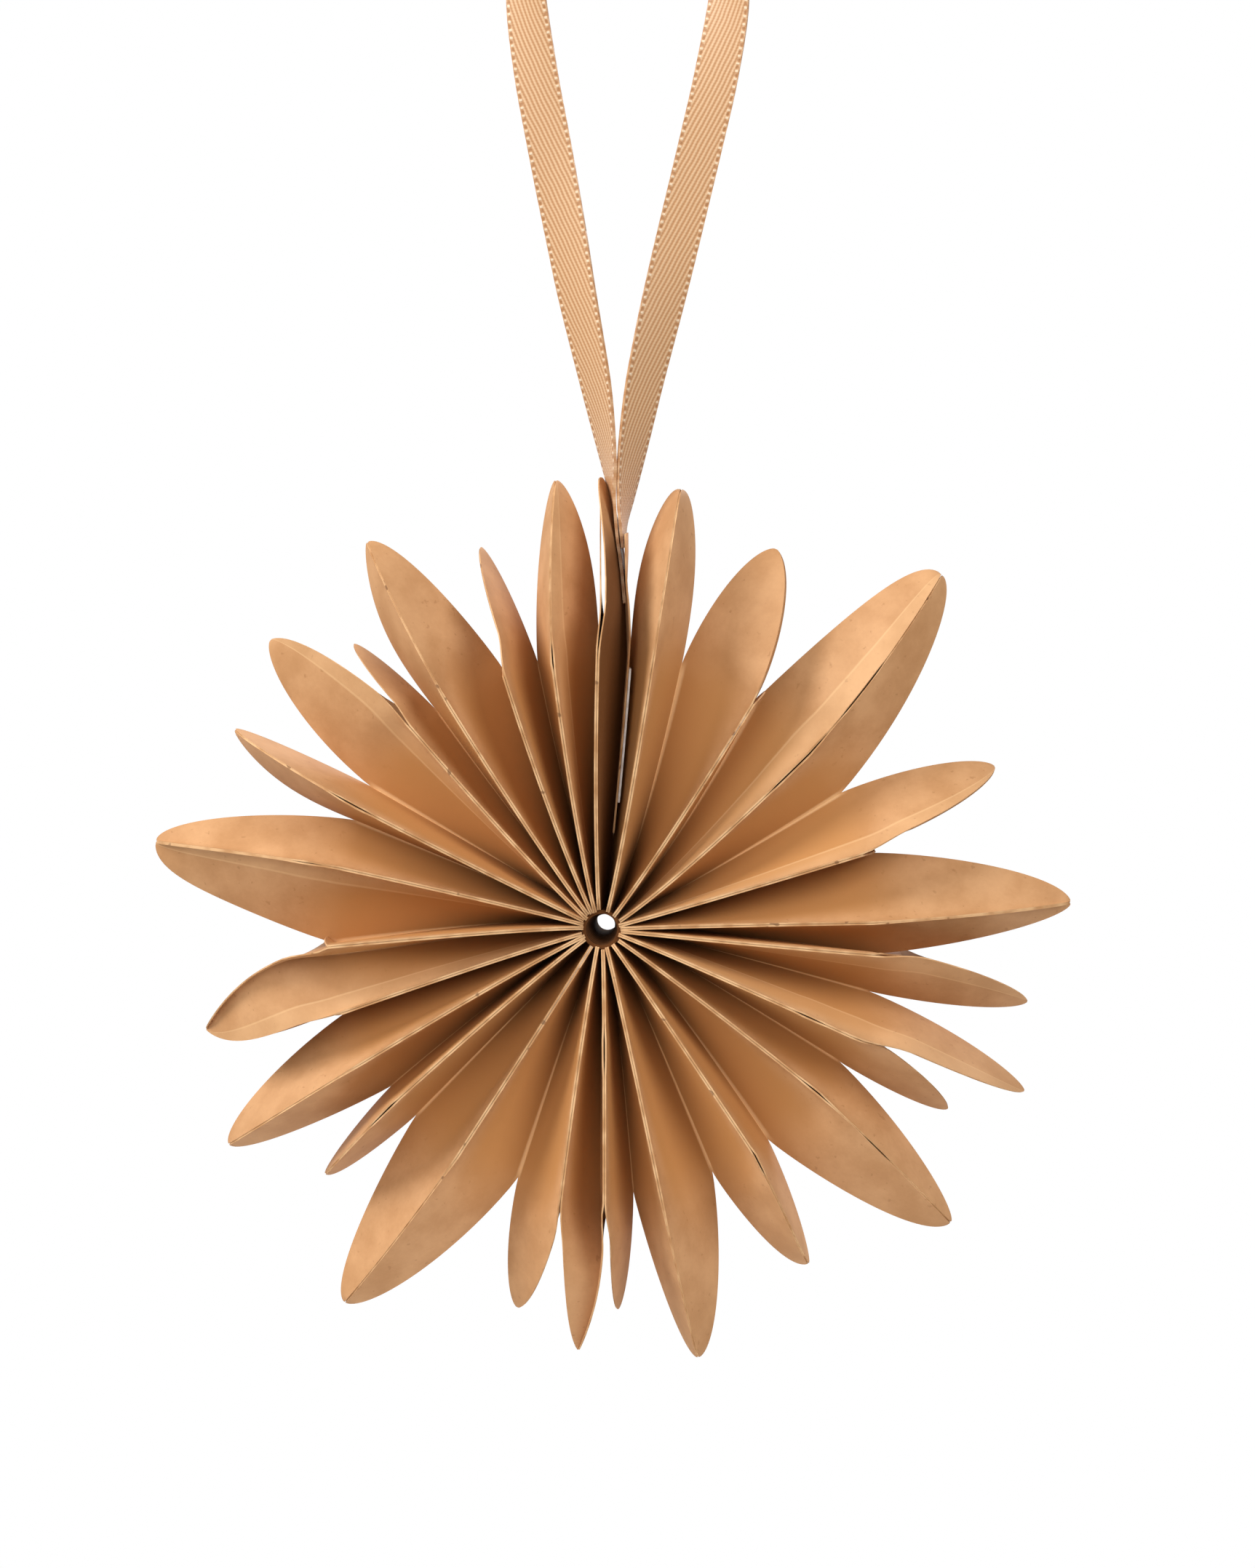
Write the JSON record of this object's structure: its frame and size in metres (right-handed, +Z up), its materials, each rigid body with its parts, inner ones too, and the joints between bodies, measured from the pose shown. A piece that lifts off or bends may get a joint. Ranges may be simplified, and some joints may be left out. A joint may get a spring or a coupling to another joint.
{
  "type": "paper snowflake ornament",
  "caption": "Hanging round rosette of folded kraft-card leaf pockets, glued along rims and middles into a fan that opens from a flat stack round a hub hole, on a ribbon loop.",
  "frame": {"origin": "centre of the hub hole at half the hub's depth", "axes": "Y along the hub's axis with the shown side at -Y, Z up towards the ribbon, X to the right"},
  "size_m": [0.1506, 0.0282, 0.2548],
  "materials": {
    "card": "matt",
    "spine": "matt",
    "tape": "matt",
    "ribbon": "satin"
  },
  "bodies": {
    "ribbon_loop": {"ribbon_loop": "ribbon"},
    "ribbon_strands": {"ribbon_strands": "ribbon"},
    "pocket_01": {"pocket_01_left_leaf": "card", "pocket_01_right_leaf": "card", "spine_band": "spine", "ribbon_tails": "ribbon"},
    "pocket_02": {"pocket_02_left_leaf": "card", "pocket_02_right_leaf": "card"},
    "pocket_03": {"pocket_03_left_leaf": "card", "pocket_03_right_leaf": "card"},
    "pocket_04": {"pocket_04_left_leaf": "card", "pocket_04_right_leaf": "card"},
    "pocket_05": {"pocket_05_left_leaf": "card", "pocket_05_right_leaf": "card"},
    "pocket_06": {"pocket_06_left_leaf": "card", "pocket_06_right_leaf": "card"},
    "pocket_07": {"pocket_07_left_leaf": "card", "pocket_07_right_leaf": "card"},
    "pocket_08": {"pocket_08_left_leaf": "card", "pocket_08_right_leaf": "card"},
    "pocket_09": {"pocket_09_left_leaf": "card", "pocket_09_right_leaf": "card"},
    "pocket_10": {"pocket_10_left_leaf": "card", "pocket_10_right_leaf": "card"},
    "pocket_11": {"pocket_11_left_leaf": "card", "pocket_11_right_leaf": "card"},
    "pocket_12": {"pocket_12_left_leaf": "card", "pocket_12_right_leaf": "card"},
    "pocket_13": {"pocket_13_left_leaf": "card", "pocket_13_right_leaf": "card"},
    "pocket_14": {"pocket_14_left_leaf": "card", "pocket_14_right_leaf": "card"},
    "pocket_15": {"pocket_15_left_leaf": "card", "pocket_15_right_leaf": "card"},
    "pocket_16": {"pocket_16_left_leaf": "card", "pocket_16_right_leaf": "card"},
    "pocket_17": {"pocket_17_left_leaf": "card", "pocket_17_right_leaf": "card"},
    "pocket_18": {"pocket_18_left_leaf": "card", "pocket_18_right_leaf": "card"},
    "pocket_19": {"pocket_19_left_leaf": "card", "pocket_19_right_leaf": "card"},
    "pocket_20": {"pocket_20_left_leaf": "card", "pocket_20_right_leaf": "card"},
    "pocket_21": {"pocket_21_left_leaf": "card", "pocket_21_right_leaf": "card"},
    "pocket_22": {"pocket_22_left_leaf": "card", "pocket_22_right_leaf": "card"},
    "pocket_23": {"pocket_23_left_leaf": "card", "pocket_23_right_leaf": "card"},
    "pocket_24": {"pocket_24_left_leaf": "card", "pocket_24_right_leaf": "card", "closure_tab": "card", "closure_tape": "tape"}
  },
  "joints": [
    {"name": "swing", "type": "hinge", "parent": "ribbon_loop", "child": "ribbon_strands", "pos_m": [0.0033, 0, 0.128], "axis": [1, 0, 0], "range_deg": [-45, 45]},
    {"name": "turn", "type": "hinge", "parent": "ribbon_strands", "child": "pocket_01", "pos_m": [0.0024, 0, 0.07], "axis": [0, 0, 1], "range_deg": [-90, 90], "stiffness_Nm_per_rad": 0.0004},
    {"name": "fan_fold", "type": "hinge", "parent": "pocket_01", "child": "pocket_13", "pos_m": [0.00567, 0, -0.00225], "axis": [0, -1, 0], "range_deg": [0, 201.1], "deforming": ["pocket_13_left_leaf", "pocket_13_right_leaf", "pocket_01_left_leaf", "pocket_01_right_leaf"]},
    {"name": "fold_02", "type": "hinge", "parent": "pocket_01", "child": "pocket_02", "pos_m": [0.00097, 0, 0.00236], "axis": [0, -1, 0], "range_deg": [0, 22.6], "deforming": ["pocket_02_left_leaf", "pocket_02_right_leaf"]},
    {"name": "fold_03", "type": "hinge", "parent": "pocket_01", "child": "pocket_03", "pos_m": [0.00153, 0, 0.00263], "axis": [0, -1, 0], "range_deg": [0, 38.4], "deforming": ["pocket_03_left_leaf", "pocket_03_right_leaf"]},
    {"name": "fold_04", "type": "hinge", "parent": "pocket_01", "child": "pocket_04", "pos_m": [0.00195, 0, 0.00215], "axis": [0, -1, 0], "range_deg": [0, 62.3], "deforming": ["pocket_04_left_leaf", "pocket_04_right_leaf"]},
    {"name": "fold_05", "type": "hinge", "parent": "pocket_01", "child": "pocket_05", "pos_m": [0.00245, 0, 0.00208], "axis": [0, -1, 0], "range_deg": [0, 77], "deforming": ["pocket_05_left_leaf", "pocket_05_right_leaf"]},
    {"name": "fold_06", "type": "hinge", "parent": "pocket_01", "child": "pocket_06", "pos_m": [0.00299, 0, 0.00227], "axis": [0, -1, 0], "range_deg": [0, 83.4], "deforming": ["pocket_06_left_leaf", "pocket_06_right_leaf"]},
    {"name": "fold_07", "type": "hinge", "parent": "pocket_01", "child": "pocket_07", "pos_m": [0.00342, 0, 0.00184], "axis": [0, -1, 0], "range_deg": [0, 101.2], "deforming": ["pocket_07_left_leaf", "pocket_07_right_leaf"]},
    {"name": "fold_08", "type": "hinge", "parent": "pocket_01", "child": "pocket_08", "pos_m": [0.00386, 0, 0.00148], "axis": [0, -1, 0], "range_deg": [0, 115.9], "deforming": ["pocket_08_left_leaf", "pocket_08_right_leaf"]},
    {"name": "fold_09", "type": "hinge", "parent": "pocket_01", "child": "pocket_09", "pos_m": [0.00425, 0, 0.00088], "axis": [0, -1, 0], "range_deg": [0, 134.3], "deforming": ["pocket_09_left_leaf", "pocket_09_right_leaf"]},
    {"name": "fold_10", "type": "hinge", "parent": "pocket_01", "child": "pocket_10", "pos_m": [0.0046, 0, 0.00007], "axis": [0, -1, 0], "range_deg": [0, 156.1], "deforming": ["pocket_10_left_leaf", "pocket_10_right_leaf"]},
    {"name": "fold_11", "type": "hinge", "parent": "pocket_01", "child": "pocket_11", "pos_m": [0.00501, 0, -0.00044], "axis": [0, -1, 0], "range_deg": [0, 167.9], "deforming": ["pocket_11_left_leaf", "pocket_11_right_leaf"]},
    {"name": "fold_12", "type": "hinge", "parent": "pocket_01", "child": "pocket_12", "pos_m": [0.00542, 0, -0.00093], "axis": [0, -1, 0], "range_deg": [0, 177.3], "deforming": ["pocket_12_left_leaf", "pocket_12_right_leaf"]},
    {"name": "fold_14", "type": "hinge", "parent": "pocket_13", "child": "pocket_14", "pos_m": [-0.00213, 0, -0.00244], "axis": [0, -1, 0], "range_deg": [0, 17.8], "deforming": ["pocket_14_left_leaf", "pocket_14_right_leaf"]},
    {"name": "fold_15", "type": "hinge", "parent": "pocket_13", "child": "pocket_15", "pos_m": [-0.00294, 0, -0.0028], "axis": [0, -1, 0], "range_deg": [0, 28.5], "deforming": ["pocket_15_left_leaf", "pocket_15_right_leaf"]},
    {"name": "fold_16", "type": "hinge", "parent": "pocket_13", "child": "pocket_16", "pos_m": [-0.00348, 0, -0.00271], "axis": [0, -1, 0], "range_deg": [0, 39.8], "deforming": ["pocket_16_left_leaf", "pocket_16_right_leaf"]},
    {"name": "fold_17", "type": "hinge", "parent": "pocket_13", "child": "pocket_17", "pos_m": [-0.00376, 0, -0.00222], "axis": [0, -1, 0], "range_deg": [0, 54.5], "deforming": ["pocket_17_left_leaf", "pocket_17_right_leaf"]},
    {"name": "fold_18", "type": "hinge", "parent": "pocket_13", "child": "pocket_18", "pos_m": [-0.004, 0, -0.00166], "axis": [0, -1, 0], "range_deg": [0, 70.6], "deforming": ["pocket_18_left_leaf", "pocket_18_right_leaf"]},
    {"name": "fold_19", "type": "hinge", "parent": "pocket_13", "child": "pocket_19", "pos_m": [-0.00428, 0, -0.00117], "axis": [0, -1, 0], "range_deg": [0, 85], "deforming": ["pocket_19_left_leaf", "pocket_19_right_leaf"]},
    {"name": "fold_20", "type": "hinge", "parent": "pocket_13", "child": "pocket_20", "pos_m": [-0.00441, 0, -0.00044], "axis": [0, -1, 0], "range_deg": [0, 104.2], "deforming": ["pocket_20_left_leaf", "pocket_20_right_leaf"]},
    {"name": "fold_21", "type": "hinge", "parent": "pocket_13", "child": "pocket_21", "pos_m": [-0.00477, 0, -0.00007], "axis": [0, -1, 0], "range_deg": [0, 113.8], "deforming": ["pocket_21_left_leaf", "pocket_21_right_leaf"]},
    {"name": "fold_22", "type": "hinge", "parent": "pocket_13", "child": "pocket_22", "pos_m": [-0.00499, 0, 0.00052], "axis": [0, -1, 0], "range_deg": [0, 127.4], "deforming": ["pocket_22_left_leaf", "pocket_22_right_leaf"]},
    {"name": "fold_23", "type": "hinge", "parent": "pocket_13", "child": "pocket_23", "pos_m": [-0.00526, 0, 0.00104], "axis": [0, -1, 0], "range_deg": [0, 137.9], "deforming": ["pocket_23_left_leaf", "pocket_23_right_leaf"]},
    {"name": "fold_24", "type": "hinge", "parent": "pocket_13", "child": "pocket_24", "pos_m": [-0.00551, 0, 0.00157], "axis": [0, -1, 0], "range_deg": [0, 147.4], "deforming": ["pocket_24_left_leaf", "pocket_24_right_leaf", "closure_tab", "closure_tape"]}
  ],
  "couplings": [
    {"joint": "fold_02", "follows": "fan_fold", "ratio": 0.11238},
    {"joint": "fold_03", "follows": "fan_fold", "ratio": 0.19095},
    {"joint": "fold_04", "follows": "fan_fold", "ratio": 0.3098},
    {"joint": "fold_05", "follows": "fan_fold", "ratio": 0.38289},
    {"joint": "fold_06", "follows": "fan_fold", "ratio": 0.41472},
    {"joint": "fold_07", "follows": "fan_fold", "ratio": 0.50323},
    {"joint": "fold_08", "follows": "fan_fold", "ratio": 0.57633},
    {"joint": "fold_09", "follows": "fan_fold", "ratio": 0.66783},
    {"joint": "fold_10", "follows": "fan_fold", "ratio": 0.77623},
    {"joint": "fold_11", "follows": "fan_fold", "ratio": 0.83491},
    {"joint": "fold_12", "follows": "fan_fold", "ratio": 0.88165},
    {"joint": "fold_14", "follows": "fan_fold", "ratio": 0.088513},
    {"joint": "fold_15", "follows": "fan_fold", "ratio": 0.14172},
    {"joint": "fold_16", "follows": "fan_fold", "ratio": 0.19791},
    {"joint": "fold_17", "follows": "fan_fold", "ratio": 0.27101},
    {"joint": "fold_18", "follows": "fan_fold", "ratio": 0.35107},
    {"joint": "fold_19", "follows": "fan_fold", "ratio": 0.42268},
    {"joint": "fold_20", "follows": "fan_fold", "ratio": 0.51815},
    {"joint": "fold_21", "follows": "fan_fold", "ratio": 0.56589},
    {"joint": "fold_22", "follows": "fan_fold", "ratio": 0.63352},
    {"joint": "fold_23", "follows": "fan_fold", "ratio": 0.68573},
    {"joint": "fold_24", "follows": "fan_fold", "ratio": 0.73297}
  ]
}
